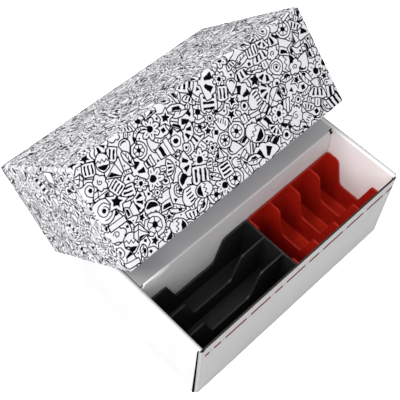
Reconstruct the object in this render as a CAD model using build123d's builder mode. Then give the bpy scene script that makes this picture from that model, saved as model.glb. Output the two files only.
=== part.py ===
from build123d import *
from math import cos, radians, sin, tan
import os

# Card storage box: a folded base, a folded insert, two moulded trays and a deep lid that is off.
# Millimetres. The origin is under the middle of the base, X along it, -Y the front, Z up.

# Sheet of board
board = 2.0
crease_radius = 1.5
bend_radius = 3.5

# Base
base_length = 285.0
base_width = 171.0
base_height = 106.0
roll_radius = 1.9
relief_length = 2.0
relief_height = 3.0
bend_depth = 5.0
flap_length = 72.0
flap_top_gap = 3.0

# Tabs that lock the end walls into the floor
tab_length = 32.0
tab_pitch = 92.0
tab_clearance = 0.2
tab_recess = 0.3

# Insert: partition, deck and back leg
front_bay = 82.0
insert_gap = 0.5
insert_fold_radius = 1.9
notch_length = 3.5
notch_height = 4.0

# Moulded trays
tray_height = 67.0
tray_gap = 1.0
tray_wall = 1.6
tray_floor = 1.8
tray_corner_radius = 4.0
pocket_radius = 2.5
root_radius = 1.4
draft_angle = 0.4
dip_height = 30.5
black_length = 143.0
black_lanes = 3
red_lanes = 4

# Finger dips, measured along a lane: the stop end, the low run, then the taller head end
black_stop = 30.0
black_stop_slope = 13.5
black_head = 34.0
black_head_slope = 12.0
red_stop = 17.0
red_stop_slope = 9.8
red_head = 16.5
red_head_slope = 9.2
stop_top_radius = 3.0
stop_foot_radius = 2.0
head_top_radius = 6.5
head_foot_radius = 7.5

# Lid
lid_height = 108.5
lid_clearance = 0.9
lid_corner_radius = 2.6
lid_flap_length = 78.0
lid_flap_gap = 3.0

# How the lid is held: tilted back, its open side over the back half of the base
lid_tilt = 45.7
lid_setback = 87.3
lid_rise = 39.0

# Sizes that follow from the ones above
half_length = base_length / 2
half_width = base_width / 2
end_thickness = 3 * board
bay_length = base_length - 2 * end_thickness
bay_front = -half_width + board
partition_front = bay_front + front_bay
insert_length = bay_length - 2 * insert_gap
insert_back = half_width - board - insert_gap
tray_span = front_bay - 2 * tray_gap
tray_y = bay_front + front_bay / 2
red_length = bay_length - black_length - 3 * tray_gap
black_x = -bay_length / 2 + tray_gap + black_length / 2
red_x = bay_length / 2 - tray_gap - red_length / 2
lid_length = base_length + 2 * (board + lid_clearance)
lid_width = base_width + 2 * (2 * board + lid_clearance)
lid_up = Vector(0, sin(radians(lid_tilt)), cos(radians(lid_tilt)))
lid_back = Vector(0, lid_up.Z, -lid_up.Y)
lid_front_edge = Vector(0, lid_setback - half_width, base_height + lid_rise)
lid_plane = Plane(lid_front_edge + lid_back * (lid_width / 2), x_dir=(1, 0, 0), z_dir=lid_up)

os.makedirs("parts", exist_ok=True)


def save(part, label):
    part.label = label
    export_step(part, f"parts/{label}.step")


# Floor of the base, inside the four outer walls, clear of their bends, with a slot for each tab
with BuildPart() as floor:
    with BuildSketch():
        Rectangle(base_length - 2 * board, base_width - 2 * board)
        bend_reach = bend_depth - board
        with GridLocations(base_length - 2 * board - bend_radius, base_width - 2 * board - bend_reach, 2, 2):
            Rectangle(bend_radius, bend_reach, mode=Mode.SUBTRACT)
        with GridLocations(bay_length + board, tab_pitch, 2, 2):
            Rectangle(board + 2 * tab_clearance, tab_length + 2 * tab_clearance, mode=Mode.SUBTRACT)
    extrude(amount=board)
save(floor.part, "floor")


# Front wall: one thickness of board, bent inwards at both ends, creased at the foot, and relieved at its
# top corners
with BuildPart() as front_wall:
    with BuildSketch():
        with BuildLine():
            FilletPolyline(
                (board - half_length, bend_depth - half_width),
                (board - half_length, -half_width),
                (half_length - board, -half_width),
                (half_length - board, bend_depth - half_width),
                radius=bend_radius,
            )
            offset(amount=board, side=Side.LEFT)
        make_face()
    extrude(amount=base_height)
    with BuildSketch(Plane.XZ.offset(half_width)):
        with BuildLine():
            Polyline(
                (half_length, base_height),
                (half_length - board - bend_radius - relief_length, base_height),
                (half_length - board - bend_radius, base_height - relief_height),
                (half_length, base_height - relief_height),
                close=True,
            )
        make_face()
        mirror(about=Plane.YZ)
    extrude(amount=-bend_depth, mode=Mode.SUBTRACT)
    foot = front_wall.edges().group_by(Axis.Z)[0].sort_by(Axis.Y)[:3]
    fillet(foot, crease_radius)
save(front_wall.part, "front_wall")

with BuildPart() as back_wall:
    mirror(front_wall.part, about=Plane.XZ)
save(back_wall.part, "back_wall")


# End wall: outer layer, rolled top and inner layer in one strip, with the corner flaps between the layers.
# The layers stop at the bends of the front and back walls; above the bends the roll reaches those walls.
with BuildPart() as left_end_wall:
    with BuildSketch(Plane.XZ) as section:
        with Locations((-half_length + end_thickness / 2, base_height / 2)):
            Rectangle(end_thickness, base_height)
        fillet(section.vertices().group_by(Axis.Y)[-1], roll_radius)
        with Locations((-half_length + 1.5 * board, (base_height - board) / 2)):
            Rectangle(board, base_height - board, mode=Mode.SUBTRACT)
        with Locations((-half_length + 2.5 * board, board / 2)):
            Rectangle(board, board, mode=Mode.SUBTRACT)
    extrude(amount=half_width - bend_radius, both=True)
    with BuildSketch(Plane.XZ) as roll:
        with Locations((-half_length + 2 * board, base_height - board / 2)):
            Rectangle(2 * board, board)
        fillet(roll.vertices().group_by(Axis.Y)[-1].sort_by(Axis.X)[-1:], roll_radius)
    extrude(amount=half_width - board, both=True)
    with BuildSketch(Plane.XY.offset(tab_recess)):
        with Locations((-half_length + 2.5 * board, 0)):
            with GridLocations(board, tab_pitch, 1, 2):
                Rectangle(board, tab_length)
    extrude(amount=board - tab_recess)
    foot = left_end_wall.edges().filter_by(Axis.Y).group_by(Axis.Z)[0].sort_by(Axis.X)[:1]
    fillet(foot, crease_radius)
save(left_end_wall.part, "left_end_wall")

with BuildPart() as right_end_wall:
    mirror(left_end_wall.part, about=Plane.YZ)
save(right_end_wall.part, "right_end_wall")


# Corner flaps of the front and back walls, held between the layers of the end walls
flap_height = base_height - 2 * board - flap_top_gap
flap_middle = half_width - bend_depth - flap_length / 2
for end, x_side in (("left", -1), ("right", 1)):
    for wall, y_side in (("front", -1), ("back", 1)):
        with BuildPart() as corner_flap:
            with BuildSketch(Plane.XY.offset(board)):
                with Locations((x_side * (half_length - 1.5 * board), y_side * flap_middle)):
                    Rectangle(board, flap_length)
            extrude(amount=flap_height)
        save(corner_flap.part, f"{wall}_{end}_flap")


# Insert: a partition with a rounded fold along its top, notched at both ends of the fold
with BuildPart() as insert_partition:
    with BuildSketch(Plane.XZ.offset(-partition_front)) as sheet:
        with Locations((0, (board + base_height) / 2)):
            Rectangle(insert_length, base_height - board)
        with Locations((0, base_height - notch_height / 2)):
            with GridLocations(insert_length - notch_length, 0, 2, 1):
                Rectangle(notch_length, notch_height, mode=Mode.SUBTRACT)
    extrude(amount=-board)
    fold = insert_partition.edges().filter_by(Axis.X).group_by(Axis.Z)[-1].sort_by(Axis.Y)[:1]
    fillet(fold, insert_fold_radius)
save(insert_partition.part, "insert_partition")

# Deck of the insert, level with the rim of the base
deck_front = partition_front + board
deck_width = insert_back - board - deck_front
with BuildPart() as insert_deck:
    with BuildSketch(Plane.XY.offset(base_height - board)):
        with Locations((0, deck_front + deck_width / 2)):
            Rectangle(insert_length, deck_width)
    extrude(amount=board)
save(insert_deck.part, "insert_deck")

# Back leg of the insert, folded down from the deck to the floor
with BuildPart() as insert_back_leg:
    with BuildSketch(Plane.XZ.offset(-insert_back)):
        with Locations((0, (board + base_height) / 2)):
            Rectangle(insert_length, base_height - board)
    extrude(amount=board)
    fold = insert_back_leg.edges().filter_by(Axis.X).group_by(Axis.Z)[-1].sort_by(Axis.Y)[-1:]
    fillet(fold, insert_fold_radius)
save(insert_back_leg.part, "insert_back_leg")


def moulded_tray(plane, length, width, lanes, stop, stop_slope, head, head_slope):
    """A thin-walled tray with lanes along the plane's X, and one finger dip through all its long walls."""
    depth = tray_height - tray_floor
    draft = depth * tan(radians(draft_angle))
    pitch = (width - tray_wall) / lanes
    pocket_length = length - 2 * (tray_wall + draft)
    pocket_width = pitch - tray_wall - 2 * draft
    low_start = -length / 2 + stop + stop_slope
    low_end = length / 2 - head - head_slope
    side_plane = Plane(plane.origin, x_dir=plane.x_dir, z_dir=-plane.y_dir)
    with BuildPart() as tray:
        with BuildSketch(plane):
            RectangleRounded(length, width, tray_corner_radius)
        extrude(amount=tray_height)
        with BuildPart(mode=Mode.SUBTRACT) as pockets:
            with BuildSketch(plane.offset(tray_floor)):
                with GridLocations(0, pitch, 1, lanes):
                    Rectangle(pocket_length, pocket_width)
            extrude(amount=depth, taper=-draft_angle)
            fillet(pockets.edges().group_by(Axis.Z)[1], pocket_radius)
            fillet(pockets.edges().group_by(Axis.Z)[0], root_radius)
        with BuildSketch(side_plane):
            with BuildLine():
                FilletPolyline(
                    (-length / 2, tray_height),
                    (low_start - stop_slope, tray_height),
                    (low_start, dip_height),
                    (low_end, dip_height),
                    (low_end + head_slope, tray_height),
                    (length / 2, tray_height),
                    radius=(stop_top_radius, stop_foot_radius, head_foot_radius, head_top_radius),
                )
                Polyline(
                    (length / 2, tray_height),
                    (length / 2, tray_height + tray_wall),
                    (-length / 2, tray_height + tray_wall),
                    (-length / 2, tray_height),
                )
            make_face()
        extrude(amount=width, both=True, mode=Mode.SUBTRACT)
    return tray.part


# Black tray: lanes along the box, its tall head end towards the red tray
black_plane = Plane((black_x, tray_y, board))
black_tray = moulded_tray(
    black_plane,
    black_length,
    tray_span,
    black_lanes,
    black_stop,
    black_stop_slope,
    black_head,
    black_head_slope,
)
save(black_tray, "black_tray")

# Red tray: lanes across the box, its tall head end against the partition
red_plane = Plane((red_x, tray_y, board), x_dir=(0, 1, 0))
red_tray = moulded_tray(
    red_plane, tray_span, red_length, red_lanes, red_stop, red_stop_slope, red_head, red_head_slope
)
save(red_tray, "red_tray")


# Lid: one rounded shell, then cut at its mitres into the panels of the folded sheet
with BuildPart() as lid_shell:
    with BuildSketch(lid_plane):
        RectangleRounded(lid_length, lid_width, lid_corner_radius)
    extrude(amount=lid_height)
    lid_axis = Axis(lid_plane.origin, lid_plane.z_dir)
    fillet(lid_shell.faces().sort_by(lid_axis)[-1].edges(), lid_corner_radius)
    with BuildSketch(lid_plane):
        RectangleRounded(lid_length - 2 * board, lid_width - 2 * board, lid_corner_radius - board)
    extrude(amount=lid_height - board, mode=Mode.SUBTRACT)
    ceiling = lid_shell.faces().filter_by(lid_plane).sort_by(lid_axis)[-2]
    fillet(ceiling.edges(), lid_corner_radius - board)

lid_panels = {
    "lid_top": Vector(0, 0, 1),
    "lid_front_wall": Vector(0, -1, 0),
    "lid_back_wall": Vector(0, 1, 0),
    "lid_left_wall": Vector(-1, 0, 0),
    "lid_right_wall": Vector(1, 0, 0),
}


def mitre(out, side):
    """Plane between two panels of the lid, through their shared outer edge and facing the first."""
    sides = out + side
    edge = Vector(sides.X * lid_length / 2, sides.Y * lid_width / 2, sides.Z * lid_height)
    origin = lid_plane.from_local_coords(edge)
    return Plane(origin, z_dir=lid_plane.from_local_coords(edge + out - side) - origin)


for label, out in lid_panels.items():
    with BuildPart() as lid_panel:
        add(lid_shell.part)
        for side in lid_panels.values():
            if out.dot(side) == 0:
                split(bisect_by=mitre(out, side))
    save(lid_panel.part, label)

# Corner flaps of the lid's end walls, lying against the inside of its long walls
lid_flap_x = lid_length / 2 - lid_corner_radius - lid_flap_length / 2
lid_flap_y = lid_width / 2 - 1.5 * board
for end, x_side in (("left", -1), ("right", 1)):
    for wall, y_side in (("front", -1), ("back", 1)):
        with BuildPart() as lid_flap:
            with BuildSketch(lid_plane.offset(lid_flap_gap)):
                with Locations((x_side * lid_flap_x, y_side * lid_flap_y)):
                    Rectangle(lid_flap_length, board)
            extrude(amount=lid_height - lid_corner_radius - lid_flap_gap)
        save(lid_flap.part, f"lid_{wall}_{end}_flap")
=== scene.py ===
import bpy
import math
import numpy as np
from collections import namedtuple
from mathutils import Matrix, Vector, kdtree


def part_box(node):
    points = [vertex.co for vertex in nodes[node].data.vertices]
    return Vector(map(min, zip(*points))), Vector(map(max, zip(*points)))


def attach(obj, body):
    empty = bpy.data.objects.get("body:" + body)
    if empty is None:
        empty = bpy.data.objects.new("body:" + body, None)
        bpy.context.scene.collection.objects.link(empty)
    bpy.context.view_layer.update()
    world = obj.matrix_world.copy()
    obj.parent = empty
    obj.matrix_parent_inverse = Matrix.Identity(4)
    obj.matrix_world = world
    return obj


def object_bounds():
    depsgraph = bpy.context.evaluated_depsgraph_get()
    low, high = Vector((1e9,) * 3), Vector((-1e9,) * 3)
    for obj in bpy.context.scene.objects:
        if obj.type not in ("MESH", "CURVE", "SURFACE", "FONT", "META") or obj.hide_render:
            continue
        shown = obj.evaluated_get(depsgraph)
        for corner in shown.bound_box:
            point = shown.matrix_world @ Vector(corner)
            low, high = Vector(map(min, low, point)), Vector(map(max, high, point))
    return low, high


# Looks of the card storage box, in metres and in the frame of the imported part. The ink on the lid and on the
# front wall is drawn in millimetres on flat board, and becomes metres as it is laid on the object.
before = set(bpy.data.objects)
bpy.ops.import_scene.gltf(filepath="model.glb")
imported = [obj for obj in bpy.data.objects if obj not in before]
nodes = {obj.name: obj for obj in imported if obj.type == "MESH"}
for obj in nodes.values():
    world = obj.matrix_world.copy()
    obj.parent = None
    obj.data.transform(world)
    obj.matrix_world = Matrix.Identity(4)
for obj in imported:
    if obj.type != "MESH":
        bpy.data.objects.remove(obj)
cad_low, cad_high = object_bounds()
MM = 0.001
TAU = 2 * math.pi

# Camera, from the box's vanishing directions and corners in the photograph
CAMERA_PLACE = (-0.3693, -0.2724, 0.8157)
CAMERA_TURN = (32.631, -2.582, -44.281)
CAMERA_LENS = 76.71
CAMERA_CLIPS = (0.01, 20)

# Floor, world and lamps: each lamp's place and power
FLOOR_HALF = 3.0
FLOOR_DROP = 0.1 * MM
FLOOR_TONE = 0.5
FLOOR_MIRRORED_TONE = 0.95
FLOOR_SEEN_TONE = 3.0
AMBIENT = 0.38
LAMP_SIZE = 0.9
LAMP_TARGET = (0, 0, 0.1)
LAMPS = {
    "key": ((-1.05, 0.34, 1.39), 18.8),
    "fill": ((-0.9, -0.75, 1.03), 7.8),
    "back": ((-0.16, 1.2, 1.14), 4.5),
}

# How the lid is held, as in the CAD source
LID_TILT = math.radians(45.7)
LID_CORNER = 2.6 * MM

# Ink, in millimetres: how far it stands off the board, and how finely its lines are sampled and thinned out
INK_LIFT = 0.03
SAMPLE_STEP = 0.45
MOST_RUN = 6.0
MOST_TURN = math.radians(14)
STEPS_PER_RADIAN = 5
LEAST_STEPS = 6

# Cosine of half the sharpest bend that gets a full mitre, how often the step at a run's end is halved to find
# where the line is hidden, and the least length that a vector counts with
MITRE_LIMIT = 0.6
HALVINGS = 6
TINY = 1e-9

# Print on the lid, in millimetres: small motifs in staggered rows, one in FRONT_SHARE of them smaller and in
# front, and solid marks in the gaps between them. Jitter is a share of the pitch.
PRINT_SEED = 7
MOTIF_PITCH = 14.6
ROW_PITCH = MOTIF_PITCH * 0.87
MOTIF_JITTER = 0.2
MOTIF_SIZES = (7.2, 12.6)
FRONT_SHARE = 4
FRONT_SCALE = 0.75
WOBBLE = 0.16
WOBBLE_RATES = (0.9, 1.7)
OUTLINE_WIDTH = 1.12
DETAIL_WIDTH = 0.9
FILL_PITCH = 0.5
MARK_PITCH = 2.4
MARK_JITTER = 0.3
MARK_SIZES = (0.8, 3.2)
MARK_MARGIN = 0.35
MARK_GAP = 7.5

# Fine red rule along the front wall, in millimetres: dashes from left to right, with a dot after each
RULE_DROP = 16.5
RULE_WIDTH = 4.4
RULE_START = 5.5
RULE_DASHES = (6, 9.5, 28.5, 27.5, 11.5, 27, 15, 30.5, 26.5, 26, 10)
RULE_GAP = 2.3
RULE_DOT = 0.8

# Landmarks on the pieces, from the frame, with the bends of the front wall and the notches of the deck
BEND_WIDTH = 3.5 * MM
NOTCH_WIDTH = 3.5 * MM
wall_low, wall_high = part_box("front_wall")
end_low, end_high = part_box("left_end_wall")
end_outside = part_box("right_end_wall")[1].x
deck_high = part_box("insert_deck")[1]
bend_start = wall_high.x - BEND_WIDTH
notch_start = deck_high.x - NOTCH_WIDTH

# End walls: the width of their rolled top, how deep their outer face counts, and how wide the painted shadow
# strip beside their front edge is at the foot and at the top
ROLL_WIDTH = 6.0 * MM
FACE_DEPTH = 0.2 * MM
SHADOW_STRIP_WIDTHS = (3.1 * MM, 1.4 * MM)

# Masks: the width of a sharp border, the reach of the painted shadow before the notch, and where other masks
# start and are whole, as distances from their landmarks
SHARP = 0.1 * MM
NOTCH_SHADOW_REACH = 1.2 * MM
BEND_FADE = (-0.5 * MM, 1.0 * MM)
ROLL_FADE = (-0.4 * MM, 0.8 * MM)
LIT_FOLD_FADE = (-6.5 * MM, -5.5 * MM)
NOTCH_SHADOW_FADE = (-5.6 * MM, -5.4 * MM)

# Where a mask is still whole and where it has ended, along an axis of the frame
LIT_FOLD_ALONG = (-128 * MM, -98 * MM)
NOTCH_SHADOW_ACROSS = (1.2 * MM, 1.5 * MM)
DECK_SHADE_ALONG = (-136 * MM, -85 * MM)
LANE_FLOOR = (12 * MM, 16 * MM)

# Where a mask starts and where it is whole, as the part of the normal that lies along an axis, and the normal
# that the fold's left end leans to, so that the lamps light its painted highlight
TOP_EDGE_FACING = (0.3, 0.4)
END_EDGE_FACING = (0.5, 0.6)
INNER_SIDE_FACING = (-0.6, -0.4)
ROLL_FACING = (0.2, 0.4)
FOLD_FACING = (0.1, 0.4)
LANE_FLOOR_FACING = (0.6, 0.9)
LIT_FOLD_LEAN = (-0.8, -0.1, 0.6)

# Finish: widths of edges, mirroring, the painted highlight on plastic edges and roughness from least to most,
# how dark the grain is in bare board and in painted shadow, and one minus the cosine between the true and the
# rounded normal where the edge mask is whole
BOARD_EDGE = 0.9 * MM
BOARD_SHINE = 0.35
BOARD_ROUGHNESS = (0.46, 0.60)
DARK_GRAIN = 0.55
PLASTIC_EDGE = 0.35 * MM
PLASTIC_HIGHLIGHT = (0.45, 0.9)
PLASTIC_ROUGHNESS = (0.44, 0.56)
INK_ROUGHNESS = (0.55, 0.70)
EDGE_SPREAD = 0.12

# Contrast: the noise at which patches start and at which they are whole
EVEN = (0.3, 0.7)
CLEAR = (0.35, 0.65)
SPARSE = (0.45, 0.75)
SPARSER = (0.5, 0.75)

# How strong the painted shade is at the front wall's left end, and how strong the painted shade along the fold
# is
WALL_SHADE_STRENGTH = 0.9
FOLD_SHADE_STRENGTH = 0.8

# Sockets of Blender's Mix node that have a name in common: first and second value, and result
COLOUR_SOCKETS = (6, 7, 2)
VECTOR_SOCKETS = (4, 5, 1)


def srgb(red, green, blue):
    """A colour as a screen shows it, 0 to 255, as the linear values that a shader takes."""
    channels = (red / 255, green / 255, blue / 255)
    return tuple(c / 12.92 if c <= 0.04045 else ((c + 0.055) / 1.055) ** 2.4 for c in channels) + (1.0,)


def grey(tone):
    """A linear tone as a colour."""
    return (tone, tone, tone, 1.0)


def put(name, data):
    """A new object in the scene."""
    made = bpy.data.objects.new(name, data)
    bpy.context.scene.collection.objects.link(made)
    return made


class Wiring:
    """A tree of shader nodes, with short names for the nodes that are used here."""

    def __init__(self, tree):
        self.tree = tree

    def add(self, kind, **settings):
        """A new node."""
        node = self.tree.nodes.new(kind)
        for key, value in settings.items():
            setattr(node, key, value)
        return node

    def feed(self, socket, value):
        """Gives a socket its value, which is another node's output or a constant."""
        if isinstance(value, bpy.types.NodeSocket):
            self.tree.links.new(value, socket)
        else:
            socket.default_value = value

    def span(self, value, low, high, to_low=0.0, to_high=1.0):
        """A value between low and high as one between to_low and to_high."""
        node = self.add("ShaderNodeMapRange")
        self.feed(node.inputs["Value"], value)
        for socket, number in zip(("From Min", "From Max", "To Min", "To Max"), (low, high, to_low, to_high)):
            node.inputs[socket].default_value = number
        return node.outputs["Result"]

    def math(self, operation, first, second=0.0):
        """The result of one arithmetic step."""
        node = self.add("ShaderNodeMath", operation=operation)
        self.feed(node.inputs[0], first)
        self.feed(node.inputs[1], second)
        return node.outputs[0]

    def both(self, first, second):
        """Where two masks overlap."""
        return self.math("MULTIPLY", first, second)

    def mix(self, factor, first, second, kind="RGBA", sockets=COLOUR_SOCKETS):
        """The first value where factor is 0, and the second where it is 1."""
        node = self.add("ShaderNodeMix", data_type=kind)
        self.feed(node.inputs["Factor"], factor)
        self.feed(node.inputs[sockets[0]], first)
        self.feed(node.inputs[sockets[1]], second)
        return node.outputs[sockets[2]]

    def camera_rays(self):
        """1 for the rays that come straight from the camera."""
        return self.add("ShaderNodeLightPath").outputs["Is Camera Ray"]

    def seen_rays(self):
        """1 for the rays that show the background: from the camera, mirrored or let through."""
        path = self.add("ShaderNodeLightPath").outputs
        seen = self.math("MAXIMUM", path["Is Camera Ray"], path["Is Glossy Ray"])
        return self.math("MAXIMUM", seen, path["Is Transmission Ray"])


class Surface(Wiring):
    """A material under construction."""

    def __init__(self, name):
        self.material = bpy.data.materials.new(name)
        self.material.use_nodes = True
        super().__init__(self.material.node_tree)
        self.shader = self.tree.nodes["Principled BSDF"].inputs
        self.space = self.add("ShaderNodeTexCoord").outputs
        self.at = self.parts(self.space["Object"])
        self.facing = self.parts(self.space["Normal"])

    def parts(self, vector):
        """The X, Y and Z of a vector."""
        node = self.add("ShaderNodeSeparateXYZ")
        self.feed(node.inputs[0], vector)
        return node.outputs

    def noise(self, size, detail):
        """Noise whose patches are about size across."""
        node = self.add("ShaderNodeTexNoise")
        self.feed(node.inputs["Vector"], self.space["Object"])
        node.inputs["Scale"].default_value = 1 / size
        node.inputs["Detail"].default_value = detail
        return node.outputs["Fac"]

    def patches(self, size, detail, contrast, least=0.0, most=1.0):
        """Patches about size across, from least where the noise is low to most where it is high."""
        return self.span(self.noise(size, detail), *contrast, least, most)

    def past(self, value, limit):
        """A mask that is whole where value is past limit."""
        return self.span(value, limit - SHARP, limit)

    def edges(self, radius):
        """A mask of the edges, and the normal that rounds them by radius."""
        bevel = self.add("ShaderNodeBevel", samples=4)
        bevel.inputs["Radius"].default_value = radius
        rounded = bevel.outputs[0]
        likeness = self.add("ShaderNodeVectorMath", operation="DOT_PRODUCT")
        self.feed(likeness.inputs[0], rounded)
        self.feed(likeness.inputs[1], self.add("ShaderNodeNewGeometry").outputs["Normal"])
        return self.span(self.math("SUBTRACT", 1.0, likeness.outputs["Value"]), 0.0, EDGE_SPREAD), rounded

    def relief(self, fine, coarse, share):
        """Fine noise on coarse noise that is share times as high."""
        return self.math("ADD", fine, self.math("MULTIPLY", coarse, share))

    def bump(self, height, distance, normal):
        """Relief on top of a normal."""
        node = self.add("ShaderNodeBump")
        self.feed(node.inputs["Height"], height)
        self.feed(node.inputs["Normal"], normal)
        node.inputs["Distance"].default_value = distance
        node.inputs["Strength"].default_value = 1.0
        self.feed(self.shader["Normal"], node.outputs[0])

    def finish(self, colour, roughness):
        """Feeds the shader, and returns the material."""
        self.feed(self.shader["Base Color"], colour)
        self.feed(self.shader["Roughness"], roughness)
        return self.material

    def shine(self, level):
        """How strongly the surface mirrors."""
        self.feed(self.shader["Specular IOR Level"], level)


def board_surface(name, face, shade, core_and_shadow, cut_and_shadow_mask=None, wear=0.35, tone=None, turn=None):
    """Coated white board: slight mottle, fine fibre, scuffed creases, and a dark grained tone where its mask
    lies: bare board painted darker as shade on the walls' top edges, and painted shadow elsewhere.
    """
    s = Surface(name)
    colour = s.mix(s.patches(30 * MM, 2.0, CLEAR), face, shade)
    if tone:
        colour = tone(s, colour)
    edge, normal = s.edges(BOARD_EDGE)
    colour = s.mix(s.both(edge, s.patches(4 * MM, 4.0, SPARSE, 0.0, wear)), colour, core_and_shadow)
    s.shine(BOARD_SHINE)
    # Dark grained tone where the mask lies: bare board painted darker as shade, and painted shadows
    if cut_and_shadow_mask:
        raw_and_shadow = cut_and_shadow_mask(s)
        dark_core_and_shadow = tuple(DARK_GRAIN * c for c in core_and_shadow[:3]) + (1.0,)
        colour = s.mix(raw_and_shadow, colour, s.mix(s.patches(1.2 * MM, 3.0, EVEN), core_and_shadow, dark_core_and_shadow))
        s.shine(s.span(raw_and_shadow, 0.0, 1.0, BOARD_SHINE, 0.0))
    if turn:
        normal = turn(s, normal)
    fibre = s.relief(s.noise(0.7 * MM, 3.0), s.noise(12 * MM, 2.0), 3.0)
    s.bump(fibre, 0.012 * MM, normal)
    return s.finish(colour, s.patches(6 * MM, 3.0, EVEN, *BOARD_ROUGHNESS))


def plastic_surface(name, body, drift, floor, edge_highlight, shine):
    """Moulded plastic: fine spark-eroded grain, slight drift of tone, an own tone on the lanes' floors, which
    on the red tray is painted light, and painted highlights on the edges.
    """
    s = Surface(name)
    colour = s.mix(s.patches(25 * MM, 2.0, EVEN), body, drift)
    # Own tone on the lanes' floors, which on the red tray is painted light from above
    on_floor = s.both(s.span(s.at["Z"], *LANE_FLOOR, 1.0, 0.0), s.span(s.facing["Z"], *LANE_FLOOR_FACING))
    colour = s.mix(on_floor, colour, floor)
    edge, normal = s.edges(PLASTIC_EDGE)
    # Painted highlight on the edges
    colour = s.mix(s.both(edge, s.patches(5 * MM, 3.0, CLEAR, *PLASTIC_HIGHLIGHT)), colour, edge_highlight)
    s.shine(shine)
    grain = s.relief(s.noise(0.5 * MM, 2.0), s.noise(10 * MM, 2.0), 2.0)
    s.bump(grain, 0.025 * MM, normal)
    return s.finish(colour, s.patches(8 * MM, 3.0, EVEN, *PLASTIC_ROUGHNESS))


def ink_surface(name, body, thin):
    """Printing ink, a little lighter where it lies thin."""
    s = Surface(name)
    s.shine(0.0)
    colour = s.mix(s.patches(2.2 * MM, 4.0, SPARSER), body, thin)
    return s.finish(colour, s.patches(5 * MM, 3.0, EVEN, *INK_ROUGHNESS))


def cut_along_top(s):
    """Mask of a wall's top edge and of the slopes at its ends, where the bare board is painted darker as
    shade.
    """
    return s.span(s.facing["Z"], *TOP_EDGE_FACING)


def cut_and_shadow_at_ends(s):
    """Mask of an end wall's upright edges, painted near black as shade, and of a painted shadow beside the
    front one on its outer face.
    """
    outwards = s.math("ABSOLUTE", s.at["X"])
    across = s.span(s.math("ABSOLUTE", s.facing["Y"]), *END_EDGE_FACING)
    edge = s.both(across, s.past(outwards, -end_low.x - ROLL_WIDTH))
    width = s.span(s.at["Z"], 0.0, end_high.z, *SHADOW_STRIP_WIDTHS)
    behind = s.math("SUBTRACT", s.math("SUBTRACT", s.at["Y"], end_low.y), width)
    strip = s.both(s.span(behind, -SHARP, SHARP, 1.0, 0.0), s.past(outwards, -end_low.x - FACE_DEPTH))
    return s.math("MAXIMUM", edge, strip)


def shadow_in_notch(s):
    """Mask of the notch at the right end of the insert's fold and the board round it, where a near-black
    shadow is painted.
    """
    along = s.past(s.at["X"], notch_start - NOTCH_SHADOW_REACH)
    high = s.span(s.at["Z"], *(deck_high.z + fade for fade in NOTCH_SHADOW_FADE))
    return s.both(along, s.both(high, s.span(s.at["Y"], *NOTCH_SHADOW_ACROSS, 1.0, 0.0)))


def lit_fold_end(s):
    """Mask of the left end of the insert's fold, where a highlight is painted."""
    high = s.span(s.at["Z"], *(deck_high.z + fade for fade in LIT_FOLD_FADE))
    return s.both(s.span(s.at["X"], *LIT_FOLD_ALONG, 1.0, 0.0), high)


def tone_of_wall(s, colour):
    """The front and back walls get painted shade towards the left, and at the bends at their ends."""
    colour = s.mix(s.span(s.at["X"], -bend_start, bend_start, WALL_SHADE_STRENGTH, 0.0), colour, srgb(222, 222, 222))
    # Painted shade on the bends at the ends
    on_bend = s.span(s.math("ABSOLUTE", s.at["X"]), *(bend_start + fade for fade in BEND_FADE))
    return s.mix(on_bend, colour, srgb(210, 210, 212))


def tone_of_end(s, colour):
    """An end wall gets painted light on its inner side, pinkish as painted reflection of the red tray, and
    painted shade on its rolled top's half towards +X.
    """
    side = s.math("SIGN", s.at["X"])
    outwards = s.math("MULTIPLY", s.facing["X"], side)
    # Painted light on the inner side, pinkish as painted reflection of the red tray
    colour = s.mix(s.span(outwards, *INNER_SIDE_FACING, 1.0, 0.0), colour, srgb(253, 245, 245))
    # Painted shade on the half of the rolled top towards +X
    roll_middle = s.math("MULTIPLY", side, end_outside - ROLL_WIDTH / 2)
    past_middle = s.span(s.math("SUBTRACT", s.at["X"], roll_middle), *ROLL_FADE)
    return s.mix(s.both(s.span(s.facing["Z"], *ROLL_FACING), past_middle), colour, srgb(197, 197, 197))


def tone_of_fold(s, colour):
    """The insert's fold gets painted shade along it and a painted highlight at its left end."""
    on_fold = s.math("MULTIPLY", s.span(s.facing["Z"], *FOLD_FACING), FOLD_SHADE_STRENGTH)
    # Painted shade along the fold
    colour = s.mix(on_fold, colour, srgb(212, 210, 212))
    # Painted highlight at the fold's left end
    return s.mix(lit_fold_end(s), colour, srgb(255, 255, 255))


def turn_of_fold(s, normal):
    """The normal at the fold's left end, where the highlight is painted, leans towards the left so the lamps
    light it.
    """
    return s.mix(lit_fold_end(s), normal, LIT_FOLD_LEAN, "VECTOR", VECTOR_SOCKETS)


def tone_of_deck(s, colour):
    """Painted shade on the deck, deeper towards its left end."""
    return s.mix(s.span(s.at["X"], *DECK_SHADE_ALONG, 1.0, 0.0), colour, srgb(160, 159, 161))


# Materials
PALE_CORE = srgb(205, 203, 200)
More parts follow.
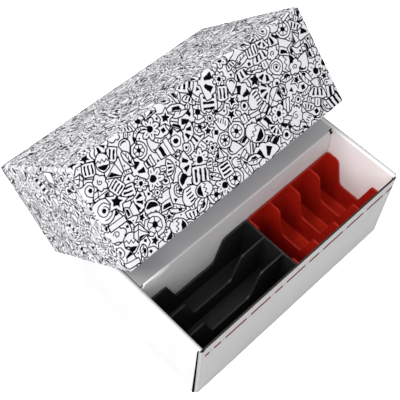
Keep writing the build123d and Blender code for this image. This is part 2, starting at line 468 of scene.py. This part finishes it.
# Near-black painted shadow in and round the notch of the insert's fold
NOTCH_SHADOW = srgb(24, 22, 20)
plain_board = board_surface("white_board", srgb(240, 240, 242), srgb(233, 233, 236), PALE_CORE)
lid_board = board_surface("lid_board", srgb(246, 245, 249), srgb(241, 240, 245), PALE_CORE)
wall_board = board_surface(
    "white_board_walls",
    face=srgb(247, 247, 247),
    shade=srgb(242, 242, 243),
    # Dark brown on the top edges: the bare board, painted darker as shade
    core_and_shadow=srgb(70, 65, 59),
    cut_and_shadow_mask=cut_along_top,
    wear=0.05,
    tone=tone_of_wall,
)
end_board = board_surface(
    "white_board_ends",
    # A little whiter than the plain board, as painted light
    face=srgb(247, 245, 247),
    shade=srgb(242, 240, 242),
    # Near black: the upright edges painted as shade, and the painted shadow beside the front edge
    core_and_shadow=srgb(24, 21, 18),
    cut_and_shadow_mask=cut_and_shadow_at_ends,
    wear=0.0,
    tone=tone_of_end,
)
# The insert gets painted shade along its fold, a painted highlight at the fold's left end, and painted shadow
# round its notch
insert_board = board_surface(
    "insert_board",
    face=srgb(240, 239, 240),
    shade=srgb(234, 233, 235),
    core_and_shadow=NOTCH_SHADOW,
    cut_and_shadow_mask=shadow_in_notch,
    wear=0.0,
    tone=tone_of_fold,
    turn=turn_of_fold,
)
# Painted shade: the deck is white card, painted grey for the lid's shadow that lies on it
deck_board = board_surface(
    "deck_board",
    face=srgb(208, 206, 208),
    shade=srgb(203, 202, 204),
    core_and_shadow=NOTCH_SHADOW,
    cut_and_shadow_mask=shadow_in_notch,
    wear=0.0,
    tone=tone_of_deck,
)
black_plastic = plastic_surface(
    "black_plastic",
    body=srgb(34, 34, 35),
    drift=srgb(29, 29, 30),
    floor=srgb(29, 29, 30),
    # Painted highlight on the black tray's edges
    edge_highlight=srgb(112, 114, 117),
    shine=0.3,
)
red_plastic = plastic_surface(
    "red_plastic",
    body=srgb(180, 31, 16),
    drift=srgb(166, 25, 11),
    # Lighter, as painted light, on the floors of the red tray's lanes
    floor=srgb(222, 46, 22),
    # Painted highlight on the red tray's edges
    edge_highlight=srgb(222, 78, 56),
    shine=0.25,
)
black_ink = ink_surface("black_ink", srgb(10, 9, 10), srgb(30, 28, 31))
red_ink = ink_surface("red_ink", srgb(140, 2, 32), srgb(150, 10, 42))


def dress(names, material):
    """Gives nodes of the frame their material."""
    for name in names:
        slots = nodes[name].data.materials
        slots.clear()
        slots.append(material)


lid_names = [name for name in nodes if name.startswith("lid")]
base_flaps = [name for name in nodes if name.endswith("flap") and name not in lid_names]
dress(lid_names, lid_board)
dress(["floor"] + base_flaps, plain_board)
dress(["front_wall", "back_wall"], wall_board)
dress(["left_end_wall", "right_end_wall"], end_board)
dress(["insert_partition", "insert_back_leg"], insert_board)
dress(["insert_deck"], deck_board)
dress(["black_tray"], black_plastic)
dress(["red_tray"], red_plastic)


# Line work of the motifs. Each is drawn at a radius of about 1, as its outline, its strokes and its solids. A
# closed line ends where it starts.
def line(*points):
    """An open line."""
    return np.array(points, float)


def close(points):
    """The same line, ending where it starts."""
    return np.vstack([points, points[:1]])


def loop(*points):
    """A closed line."""
    return close(line(*points))


def around(radius, angle):
    """Points round the middle, at a radius and an angle each."""
    return np.column_stack([radius * np.cos(angle), radius * np.sin(angle)])


def arc(radius, start=0.0, sweep=TAU, centre=(0.0, 0.0), squash=1.0, steps=None):
    """Part of a circle, or of an ellipse whose height is squash times its width."""
    steps = steps or max(LEAST_STEPS, round(abs(sweep) * STEPS_PER_RADIAN))
    a = np.linspace(start, start + sweep, steps + 1)
    return np.column_stack([centre[0] + radius * np.cos(a), centre[1] + radius * squash * np.sin(a)])


def polar(radius, steps=72):
    """A closed line whose radius is a function of the angle."""
    a = np.linspace(0, TAU, steps + 1)
    return around(radius(a), a)


def zigzag_ring(corners, inner, outer, start=0.0):
    """A closed line that jumps between two radii."""
    a = np.linspace(0, TAU, corners + 1) + start
    return around(np.where(np.arange(corners + 1) % 2, inner, outer), a)


def curl(outer, inner, turns, steps):
    """A spiral from the outer radius to the inner one."""
    return around(np.linspace(outer, inner, steps), np.linspace(0, turns * TAU, steps))


def motif_leaf(rng):
    wide = rng.uniform(0.45, 0.6)
    a = np.linspace(0, TAU, 57)
    outline = np.column_stack([np.cos(a), wide * np.sin(a) * np.abs(np.sin(a)) ** 0.35])
    vein = line((-1, 0), (-0.4, 0.03), (0.3, 0.02), (0.8, 0))
    side_veins = [line((x, 0.02), (x + 0.25, 0.6 * wide)) for x in (-0.4, 0.05)]
    shade = loop((-0.5, -0.04), (0.45, -0.04), (0.3, -0.55 * wide), (-0.2, -0.65 * wide))
    return outline, [vein] + side_veins, [shade]


def motif_blossom(rng):
    petals = rng.integers(5, 8)
    outline = polar(lambda a: 0.58 + 0.42 * np.abs(np.cos(petals * a / 2)) ** 0.55, 12 * petals)
    strokes = [around(np.array([0.42, 0.66]), TAU * k / petals) for k in range(petals)]
    return outline, strokes, [arc(0.3)]


def motif_fan(rng):
    ribs = 2 * rng.integers(2, 4) + 1
    foot = (0, -0.8)
    a = np.linspace(0.12 * math.pi, 0.88 * math.pi, 8 * ribs + 1)
    rim = around(1.5 + 0.13 * np.abs(np.sin((a - a[0]) / (a[-1] - a[0]) * ribs * math.pi)), a) + foot
    handle = line((-0.22, -0.75), (-0.2, -0.95), (0.2, -0.95), (0.22, -0.75))
    creases = a[::8]
    solids = []
    for start, end in zip(creases[1::2], creases[2::2]):
        leaf = around(np.array([0.5, 1.3, 1.3, 0.5]), np.array([start, start, end, end])) + foot
        solids.append(close(leaf))
    return close(np.vstack([rim, handle])), [], solids


def motif_toadstool(rng):
    cap = arc(1.0, 0, math.pi, (0, -0.05), 0.95, 22)
    gills = line((-0.62, -0.2), (-0.28, -0.16), (0, -0.1), (0.28, -0.16), (0.62, -0.2))
    stem = line((-0.34, -0.7), (-0.25, -0.92), (0.25, -0.92), (0.34, -0.7))
    outline = close(np.vstack([cap, gills[:2], stem, gills[-2:]]))
    solids = []
    for x in (-0.62, -0.12, 0.38):
        solids.append(loop((x, 0.05), (0.75 * x, 0.68), (0.75 * x + 0.17, 0.68), (x + 0.24, 0.05)))
    return outline, [gills, line((0, -0.3), (0.02, -0.75))], solids


def motif_spiral(rng):
    outline = polar(lambda a: 0.95 + 0.05 * np.sin(3 * a + 1))
    return outline, [curl(0.7, 0.3, 1.5, 50)], [arc(0.18)]


def motif_star(rng):
    star = zigzag_ring(10, 0.54, 1.08, 0.3)
    return star, [], [0.5 * star]


def motif_egg(rng):
    outline = arc(0.8, squash=1.28, steps=40)
    zigzag = [(-0.72 + 0.24 * k, 0.3 if k % 2 else 0.0) for k in range(7)]
    return outline, [line(*zigzag)], [close(arc(0.66, 3.5, 2.42, squash=1.28, steps=12))]


def motif_drop(rng):
    a = np.linspace(0, TAU, 49)
    outline = np.column_stack([0.98 * np.sin(a) * np.sin(a / 2) ** 1.3, np.cos(a)])
    outer = arc(0.52, 3.3, 2.2, (0, -0.34))
    inner = arc(0.4, 5.5, -2.2, (-0.02, -0.26))
    return outline, [], [close(np.vstack([outer, inner]))]


def motif_cloud(rng):
    bumps = rng.integers(5, 8)
    turn = rng.uniform(0, TAU)
    outline = polar(lambda a: 0.72 + 0.28 * np.abs(np.sin(bumps * a / 2 + turn)) ** 0.7, 12 * bumps)
    outline[:, 1] *= 0.8
    return outline, [curl(0.34, 0.08, 1.2, 30)], []


def motif_crescent(rng):
    outer = arc(1.15, 0.15, math.pi - 0.3, (0, -0.55), 1.0, 24)
    inner = arc(1.1, math.pi - 0.35, -(math.pi - 0.7), (0, -0.95), 1.0, 18)
    tip = loop((1.1, -0.38), (0.98, 0.0), (0.72, 0.32), (0.62, 0.0))
    strokes = [around(np.array([0.8, 1.0]), turn) + (0, -0.5) for turn in (1.3, 1.6, 1.9, 2.2)]
    return close(np.vstack([outer, inner])), strokes, [tip]


def motif_slats(rng):
    left = line((-0.85, -0.7), (-0.8, 0.72), (-0.55, 0.85))
    right = line((0.6, 0.8), (0.85, 0.6), (0.82, -0.75))
    foot = line((0.5, -0.82), (-0.6, -0.8))
    solids = []
    for x in (-0.58, -0.12, 0.34):
        solids.append(loop((x, -0.55), (x + 0.04, 0.55), (x + 0.25, 0.55), (x + 0.22, -0.55)))
    return close(np.vstack([left, right, foot])), [], solids


def motif_gem(rng):
    outline = loop((-0.95, 0.3), (-0.5, 0.8), (0.5, 0.8), (0.95, 0.3), (0, -0.95))
    girdle = line((-0.95, 0.3), (-0.35, 0.3), (0.35, 0.3), (0.95, 0.3))
    facets = [line((-0.35, 0.3), (0, -0.9)), line((0, 0.8), (-0.35, 0.3))]
    return outline, [girdle] + facets, [loop((0.32, 0.22), (0.78, 0.22), (0.08, -0.7))]


def motif_bean(rng):
    turn = rng.uniform(0, TAU, 3)
    outline = polar(lambda a: 0.82 + 0.14 * np.sin(2 * a + turn[0]) + 0.07 * np.sin(3 * a + turn[1]))
    bar = loop((-0.06, -0.26), (0.06, 0.26), (0.18, 0.26), (0.06, -0.26))
    return outline, [], [bar + place for place in ((-0.5, 0.06), (-0.2, 0.12), (0.1, 0.06), (0.4, 0.0))]


def motif_sun(rng):
    rays = 2 * rng.integers(6, 9)
    return zigzag_ring(rays, 0.68, 1.04), [arc(0.46)], [arc(0.22)]


def motif_wheel(rng):
    spokes = [around(np.array([0.56, -0.56]), turn) for turn in np.arange(3) * math.pi / 3]
    return arc(0.9, steps=40), [arc(0.6, steps=30)] + spokes, [arc(0.24)]


def motif_plume(rng):
    a = np.linspace(0, TAU, 49)
    outline = np.column_stack([1.15 * np.cos(a), 0.48 * np.sin(a) * (1 + 0.25 * np.cos(a))])
    shaft = line((-1.1, 0), (1.05, 0))
    barbs = [line((x, 0.03), (x + 0.2, 0.3)) for x in (-0.5, 0.0, 0.5)]
    return outline, [shaft] + barbs, [loop((-0.6, -0.05), (-0.1, -0.05), (-0.2, -0.3), (-0.5, -0.25))]


def motif_pot(rng):
    rim = line((-0.78, 0.15), (-0.78, 0.6), (0.78, 0.6), (0.78, 0.15))
    bowl = line((0.64, 0.15), (0.47, -0.88), (-0.47, -0.88), (-0.64, 0.15))
    band = loop((-0.5, -0.2), (0.5, -0.2), (0.45, -0.55), (-0.45, -0.55))
    return close(np.vstack([rim, bowl])), [line(bowl[-1], bowl[0])], [band]


def motif_shard(rng):
    outline = loop((-0.9, -0.5), (-0.2, 0.95), (0.25, 0.3), (0.95, 0.35), (0.6, -0.8), (-0.1, -0.55))
    facet = loop((0.18, -0.5), (0.4, 0.15), (0.72, 0.18), (0.52, -0.58))
    return outline, [line((-0.1, -0.55), (0.25, 0.3))], [facet]


MOTIFS = (
    motif_leaf,
    motif_blossom,
    motif_fan,
    motif_toadstool,
    motif_spiral,
    motif_star,
    motif_egg,
    motif_drop,
    motif_cloud,
    motif_crescent,
    motif_slats,
    motif_gem,
    motif_bean,
    motif_sun,
    motif_wheel,
    motif_plume,
    motif_pot,
    motif_shard,
)


# Tools for lines on flat board, in millimetres
def divide(points, step):
    """The same line with no run between points longer than step."""
    out = [points[:1]]
    for a, b in zip(points[:-1], points[1:]):
        count = max(1, math.ceil(np.linalg.norm(b - a) / step))
        out.append(a + (b - a) * (np.arange(1, count + 1) / count)[:, None])
    return np.vstack(out)


def hatch(outline):
    """Lines side by side that fill a closed outline."""
    x0, y0 = outline[:-1].T
    x1, y1 = outline[1:].T
    lines = []
    for y in np.arange(outline[:, 1].min() + FILL_PITCH / 2, outline[:, 1].max(), FILL_PITCH):
        crossed = (y0 > y) != (y1 > y)
        at = np.sort(x0[crossed] + (y - y0[crossed]) * (x1 - x0)[crossed] / (y1 - y0)[crossed])
        lines += [divide(line((a, y), (b, y)), SAMPLE_STEP) for a, b in zip(at[::2], at[1::2])]
    return lines


def inside(points, outline):
    """Which points lie inside a closed outline: a level line from there crosses it an odd number of times."""
    x, y = points[:, :1], points[:, 1:]
    x0, y0 = outline[:-1].T
    x1, y1 = outline[1:].T
    rise = np.where(y1 == y0, 1.0, y1 - y0)
    crossed = ((y0 > y) != (y1 > y)) & (x < x0 + (y - y0) * (x1 - x0) / rise)
    return crossed.sum(axis=1) % 2 == 1


def shown_runs(points, shown):
    """The runs of a line that shown() passes, with ends found by halving, and whether each is closed."""
    closed = np.allclose(points[0], points[-1])
    keep = shown(points)
    if keep.all():
        return [(points, closed)]
    if not keep.any():
        return []
    if closed and keep[0]:
        first = int(np.argmin(keep))
        points = np.vstack([points[first:-1], points[: first + 1]])
        keep = np.concatenate([keep[first:-1], keep[: first + 1]])
    changes = np.flatnonzero(keep[1:] != keep[:-1])
    near, far, state = points[changes].copy(), points[changes + 1].copy(), keep[changes]
    for _ in range(HALVINGS):
        middle = (near + far) / 2
        same = shown(middle) == state
        near[same] = middle[same]
        far[~same] = middle[~same]
    runs = []
    for k, ids in enumerate(np.split(np.arange(len(points)), changes + 1)):
        if keep[ids[0]]:
            before = near[k - 1 : k] if k else near[:0]
            after = near[k : k + 1]
            runs.append((np.vstack([before, points[ids], after]), False))
    return runs


def thin_out(points, kept):
    """Drops the points of a line that hardly turn it, apart from those that kept marks."""
    picked, last = [0], 0
    steps = np.diff(points, axis=0)
    heading = np.unwrap(np.arctan2(steps[:, 1], steps[:, 0]))
    for k in range(1, len(points) - 1):
        turned = abs(heading[k] - heading[last]) > MOST_TURN
        far = np.linalg.norm(points[k] - points[last]) > MOST_RUN
        if kept[k] or kept[last] or far or turned:
            picked.append(k)
            last = k
    picked.append(len(points) - 1)
    return points[picked]


def unit(vectors):
    """The same vectors at a length of 1."""
    return vectors / np.maximum(np.linalg.norm(vectors, axis=1, keepdims=True), TINY)


class Print:
    """Ink that place() lays on the object: ribbons along lines, and solid spots."""

    def __init__(self, place):
        self.place = place
        self.points = []
        self.faces = []
        self.count = 0

    def lay(self, points):
        """Adds points, and returns the number of the first."""
        first = self.count
        self.points.append(self.place(points))
        self.count += len(points)
        return first

    def spot(self, points):
        """A solid spot with a closed outline."""
        first = self.lay(points[:-1])
        self.faces.append(tuple(range(first, self.count)))

    def ribbon(self, points, closed, width):
        """A ribbon along a line, with mitred bends."""
        if closed:
            points = points[:-1]
            ahead = np.roll(points, -1, axis=0) - points
            behind = np.roll(ahead, 1, axis=0)
        else:
            steps = np.diff(points, axis=0)
            ahead = np.vstack([steps, steps[-1:]])
            behind = np.vstack([steps[:1], steps])
        ahead = unit(ahead)
        along = unit(ahead + unit(behind))
        side = np.column_stack([-along[:, 1], along[:, 0]])
        stretch = 1 / np.maximum((along * ahead).sum(axis=1, keepdims=True), MITRE_LIMIT)
        half = side * stretch * width / 2
        count = len(points)
        first = self.lay(np.vstack([points + half, points - half]))
        for k in range(count if closed else count - 1):
            n = (k + 1) % count
            self.faces.append((first + k, first + count + k, first + count + n, first + n))

    def piece(self, name, material, body):
        """Makes the ink a piece that moves with a body."""
        mesh = bpy.data.meshes.new(name)
        mesh.from_pydata(np.vstack(self.points).tolist(), [], self.faces)
        mesh.materials.append(material)
        made = put(name, mesh)
        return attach(made, body)


# Lid's own directions and size, measured on its nodes
lid_right = Vector((1, 0, 0))
lid_up = Vector((0, math.sin(LID_TILT), math.cos(LID_TILT)))
lid_back = Vector((0, lid_up.z, -lid_up.y))
lid_points = np.array([v.co for name in lid_names for v in nodes[name].data.vertices])
along_back, along_up = lid_points @ np.array(lid_back), lid_points @ np.array(lid_up)
lid_length, lid_width, lid_height = np.ptp(lid_points[:, 0]), np.ptp(along_back), np.ptp(along_up)
lid_middle = lid_back * float((along_back.min() + along_back.max()) / 2)
lid_crown = lid_middle + lid_up * float(along_up.max())
lid_shoulder = lid_crown - lid_up * LID_CORNER

# Lid's sheet laid flat, in millimetres: its top reaches to the middle of each rounded edge
CORNER = LID_CORNER / MM
half_edge = CORNER * math.pi / 4
flat_x = lid_length / MM / 2 - CORNER
flat_y = lid_width / MM / 2 - CORNER
reach_x, reach_y = flat_x + half_edge, flat_y + half_edge
drop = half_edge + lid_height / MM - CORNER
sheet_x, sheet_y = reach_x + drop, reach_y + drop


class Panel:
    """One outer face of the lid: its rectangle on the flat sheet, and where that lies in space.

    to_panel turns a place on the sheet into the panel's own p and q, which run along p_axis and q_axis from
    its origin and bend round the rounded edges past p_flat and q_flat. Across q a wall has one such edge.
    """

    def __init__(self, low, high, to_panel, origin, p_axis, q_axis, out, p_flat, q_flat, wall):
        self.low, self.high, self.to_panel = np.array(low), np.array(high), to_panel
        self.origin, self.p_axis, self.q_axis, self.out = (np.array(v) for v in (origin, p_axis, q_axis, out))
        self.p_flat, self.q_flat, self.wall = p_flat, q_flat, wall

    def fold(self, value, flat, one_side):
        """Where a distance along the sheet comes to lie round the rounded edge: along, depth and lean."""
        sign = np.ones_like(value) if one_side else np.sign(value)
        over = np.maximum(sign * value - flat, 0)
        lean = over / CORNER
        straight = np.where(over > 0, flat * sign, value)
        return straight + sign * CORNER * np.sin(lean), CORNER * (1 - np.cos(lean)), sign * np.sin(lean)

    def place(self, points):
        """Points of the flat sheet, in millimetres, as places in space, in metres."""
        p, q = self.to_panel(points[:, 0], points[:, 1])
        p_at, p_deep, p_lean = self.fold(p, self.p_flat, False)
        q_at, q_deep, q_lean = self.fold(q, self.q_flat, self.wall)
        upright = 1 - (p_deep + q_deep) / CORNER
        lifted = (
            np.outer(p_at + INK_LIFT * p_lean, self.p_axis)
            + np.outer(q_at + INK_LIFT * q_lean, self.q_axis)
            + np.outer(INK_LIFT * upright - p_deep - q_deep, self.out)
        )
        return self.origin + lifted * MM

    def bent(self, points):
        """Which points lie on a rounded edge across p, and which on one across q."""
        p, q = self.to_panel(points[:, 0], points[:, 1])
        return np.abs(p) > self.p_flat, (q if self.wall else np.abs(q)) > self.q_flat

    def holds(self, points):
        """Which points lie on the panel, and not on a corner where two rounded edges meet."""
        p_bent, q_bent = self.bent(points)
        within = (points >= self.low).all(axis=1) & (points <= self.high).all(axis=1)
        return within & ~(p_bent & q_bent)


def wall_panel(low, high, to_panel, along, out, half_depth, flat):
    """A wall of the lid, which hangs half_depth out from the middle."""
    origin = lid_shoulder + out * half_depth
    return Panel(low, high, to_panel, origin, along, lid_up, out, flat, 0.0, True)


panels = {
    "top": Panel(
        low=(-reach_x, -reach_y),
        high=(reach_x, reach_y),
        to_panel=lambda x, y: (x, y),
        origin=lid_crown,
        p_axis=lid_right,
        q_axis=lid_back,
        out=lid_up,
        p_flat=flat_x,
        q_flat=flat_y,
        wall=False,
    ),
    "front": wall_panel(
        low=(-reach_x, -sheet_y),
        high=(reach_x, -reach_y),
        to_panel=lambda x, y: (x, y + reach_y + half_edge),
        along=lid_right,
        out=-lid_back,
        half_depth=lid_width / 2,
        flat=flat_x,
    ),
    "back": wall_panel(
        low=(-reach_x, reach_y),
        high=(reach_x, sheet_y),
        to_panel=lambda x, y: (x, reach_y + half_edge - y),
        along=lid_right,
        out=lid_back,
        half_depth=lid_width / 2,
        flat=flat_x,
    ),
    "left": wall_panel(
        low=(-sheet_x, -reach_y),
        high=(-reach_x, reach_y),
        to_panel=lambda x, y: (y, x + reach_x + half_edge),
        along=lid_back,
        out=-lid_right,
        half_depth=lid_length / 2,
        flat=flat_y,
    ),
    "right": wall_panel(
        low=(reach_x, -reach_y),
        high=(sheet_x, reach_y),
        to_panel=lambda x, y: (y, reach_x + half_edge - x),
        along=lid_back,
        out=lid_right,
        half_depth=lid_length / 2,
        flat=flat_y,
    ),
}

Motif = namedtuple("Motif", "centre reach outline strokes solids")


def wobble(points, phase):
    """Slow and quick waves that make lines look drawn by hand."""
    x, y = points.T
    slow, quick = WOBBLE_RATES
    across = np.sin(y * slow + phase[0]) + np.sin(x * quick + phase[1])
    along = np.sin(x * slow + phase[2]) + np.sin(y * quick + phase[3])
    return WOBBLE * np.column_stack([across, along])


def draw_motif(rng, centre, scale):
    """A motif of some kind, size and turn, drawn round its centre."""
    make = MOTIFS[rng.integers(len(MOTIFS))]
    outline, strokes, solids = make(rng)
    size = rng.uniform(*MOTIF_SIZES) * scale
    turn = rng.uniform(0, TAU)
    flip = rng.choice((-1, 1))
    cos, sin = math.cos(turn), math.sin(turn)
    spin = np.array([(cos, sin), (-flip * sin, flip * cos)]) * size
    phase = rng.uniform(0, TAU, 4)

    def settle(points):
        flat = divide(points @ spin, SAMPLE_STEP)
        return flat + wobble(flat, phase) + centre

    outline = settle(outline)
    reach = np.linalg.norm(outline - centre, axis=1).max()
    return Motif(np.array(centre), reach, outline, [settle(s) for s in strokes], [settle(s) for s in solids])


def scatter(rng):
    """Motifs over the whole flat sheet, front ones first."""
    spots = []
    last_row, last_column = int(sheet_y / ROW_PITCH) + 1, int(sheet_x / MOTIF_PITCH) + 1
    for row in range(-last_row, last_row + 1):
        for column in range(-last_column, last_column + 1):
            jitter = rng.uniform(-MOTIF_JITTER, MOTIF_JITTER, 2) * MOTIF_PITCH
            x = (column + 0.5 * (row % 2)) * MOTIF_PITCH + jitter[0]
            y = row * ROW_PITCH + jitter[1]
            if abs(x) < reach_x + MOTIF_PITCH or abs(y) < reach_y + MOTIF_PITCH:
                spots.append((x, y))
    rng.shuffle(spots)
    fronts = len(spots) // FRONT_SHARE
    return [draw_motif(rng, spot, FRONT_SCALE if k < fronts else 1.0) for k, spot in enumerate(spots)]


def gap_marks(rng, motifs):
    """Solid marks in the gaps between the motifs, each as large as fits and well apart from the others."""
    outlines = np.vstack([motif.outline for motif in motifs])
    tree = kdtree.KDTree(len(outlines))
    for index, point in enumerate(outlines):
        tree.insert((*point, 0), index)
    tree.balance()
    grid = np.mgrid[-sheet_x:sheet_x:MARK_PITCH, -sheet_y:sheet_y:MARK_PITCH].reshape(2, -1).T
    grid += rng.uniform(-MARK_JITTER, MARK_JITTER, grid.shape) * MARK_PITCH
    free = np.ones(len(grid), bool)
    for motif in motifs:
        near = np.flatnonzero(free & (np.abs(grid - motif.centre) < motif.reach).all(axis=1))
        free[near[inside(grid[near], motif.outline)]] = False
    spots = grid[free]
    rooms = np.array([tree.find((*spot, 0))[2] for spot in spots]) - OUTLINE_WIDTH / 2 - MARK_MARGIN
    least, most = MARK_SIZES
    marks, taken = [], np.empty((0, 2))
    for k in np.argsort(-rooms):
        corners = rng.integers(3, 5)
        turn = rng.uniform(0, TAU)
        alone = (np.linalg.norm(taken - spots[k], axis=1) > MARK_GAP).all()
        if rooms[k] > least and alone:
            taken = np.vstack([taken, spots[k]])
            marks.append(arc(min(rooms[k], most), turn, TAU, spots[k], 1.0, corners))
    return marks


def print_motif(motif, fronts, panel, sheet):
    """Inks a motif on one panel, except where the motifs in front of it hide it."""

    def shown(points):
        hidden = np.zeros(len(points), bool)
        for front in fronts:
            hidden |= inside(points, front.outline)
        return panel.holds(points) & ~hidden

    lines = [(motif.outline, OUTLINE_WIDTH)] + [(stroke, DETAIL_WIDTH) for stroke in motif.strokes]
    for solid in motif.solids:
        if shown(solid).all() and not np.any(panel.bent(solid)):
            sheet.spot(solid)
        else:
            lines += [(stripe, FILL_PITCH) for stripe in hatch(solid)]
    for points, width in lines:
        for run, closed in shown_runs(points, shown):
            p_bent, q_bent = panel.bent(run)
            run = thin_out(run, p_bent | q_bent)
            if len(run) > (3 if closed else 1):
                sheet.ribbon(run, closed, width)


def print_lid(rng):
    """The whole print, as one piece for each panel of the lid."""
    motifs = scatter(rng)
    marks = gap_marks(rng, motifs)
    sheets = {name: Print(panel.place) for name, panel in panels.items()}
    centres = np.array([motif.centre for motif in motifs])
    reaches = np.array([motif.reach for motif in motifs])
    for k, motif in enumerate(motifs):
        gaps = np.linalg.norm(centres[:k] - motif.centre, axis=1)
        fronts = [motifs[j] for j in np.flatnonzero(gaps < reaches[:k] + motif.reach)]
        for name, panel in panels.items():
            if panel.holds(motif.outline).any():
                print_motif(motif, fronts, panel, sheets[name])
    for name, panel in panels.items():
        for mark in marks:
            if panel.holds(mark).all() and not np.any(panel.bent(mark)):
                sheets[name].spot(mark)
        sheets[name].piece(f"lid_print_{name}", black_ink, "lid")


def on_front_wall(points):
    """Points in millimetres, along and up the front wall, as places on it."""
    x, z = points[:, 0] * MM, points[:, 1] * MM
    return np.column_stack([x, np.full_like(x, wall_low.y - INK_LIFT * MM), z])


def rule_front_wall():
    """The red rule, as one piece."""
    rule = Print(on_front_wall)
    x = wall_low.x / MM + RULE_START
    z = wall_high.z / MM - RULE_DROP
    for dash in RULE_DASHES:
        for length, width in ((dash, RULE_WIDTH), (RULE_DOT, RULE_WIDTH / 2)):
            rule.ribbon(line((x, z), (x + length, z)), False, width)
            x += length + RULE_GAP
    rule.piece("front_rule", red_ink, "base")


def lay_floor():
    """A plain floor under the object, white to the camera and darker to the light that it sends back up."""
    level = cad_low.z - FLOOR_DROP
    corners = [(x * FLOOR_HALF, y * FLOOR_HALF, level) for x, y in ((-1, -1), (1, -1), (1, 1), (-1, 1))]
    mesh = bpy.data.meshes.new("studio_floor")
    mesh.from_pydata(corners, [], [(0, 1, 2, 3)])
    studio_floor = put("studio_floor", mesh)
    material = bpy.data.materials.new("studio_floor")
    material.use_nodes = True
    material.node_tree.nodes.clear()
    s = Wiring(material.node_tree)
    tone = s.mix(s.seen_rays(), grey(FLOOR_TONE), grey(FLOOR_MIRRORED_TONE))
    diffuse = s.add("ShaderNodeBsdfDiffuse")
    s.feed(diffuse.inputs["Color"], s.mix(s.camera_rays(), tone, grey(FLOOR_SEEN_TONE)))
    s.feed(s.add("ShaderNodeOutputMaterial").inputs["Surface"], diffuse.outputs[0])
    mesh.materials.append(material)


def light_world():
    """A white surrounding, at full strength where it is seen and weaker as light on the object."""
    world = bpy.data.worlds.new("studio")
    bpy.context.scene.world = world
    world.use_nodes = True
    s = Wiring(world.node_tree)
    background = world.node_tree.nodes["Background"]
    s.feed(background.inputs["Color"], grey(1.0))
    s.feed(background.inputs["Strength"], s.span(s.seen_rays(), 0.0, 1.0, AMBIENT, 1.0))


def soft_lamp(name, place, power):
    """A round lamp that faces the object."""
    lamp = put(name, bpy.data.lights.new(name, "AREA"))
    lamp.data.shape = "DISK"
    lamp.data.size = LAMP_SIZE
    lamp.data.energy = power
    lamp.location = place
    lamp.rotation_euler = (Vector(LAMP_TARGET) - Vector(place)).to_track_quat("-Z", "Y").to_euler()


def look_from(place, turn):
    """The camera of the photograph."""
    camera = put("camera", bpy.data.cameras.new("camera"))
    camera.location = place
    camera.rotation_euler = [math.radians(a) for a in turn]
    camera.data.lens = CAMERA_LENS
    camera.data.clip_start, camera.data.clip_end = CAMERA_CLIPS
    bpy.context.scene.camera = camera


look_from(CAMERA_PLACE, CAMERA_TURN)
print_lid(np.random.default_rng(PRINT_SEED))
rule_front_wall()
lay_floor()
light_world()
for lamp_name, (lamp_place, lamp_power) in LAMPS.items():
    soft_lamp(lamp_name, lamp_place, lamp_power)
bpy.context.scene.view_settings.view_transform = "Standard"
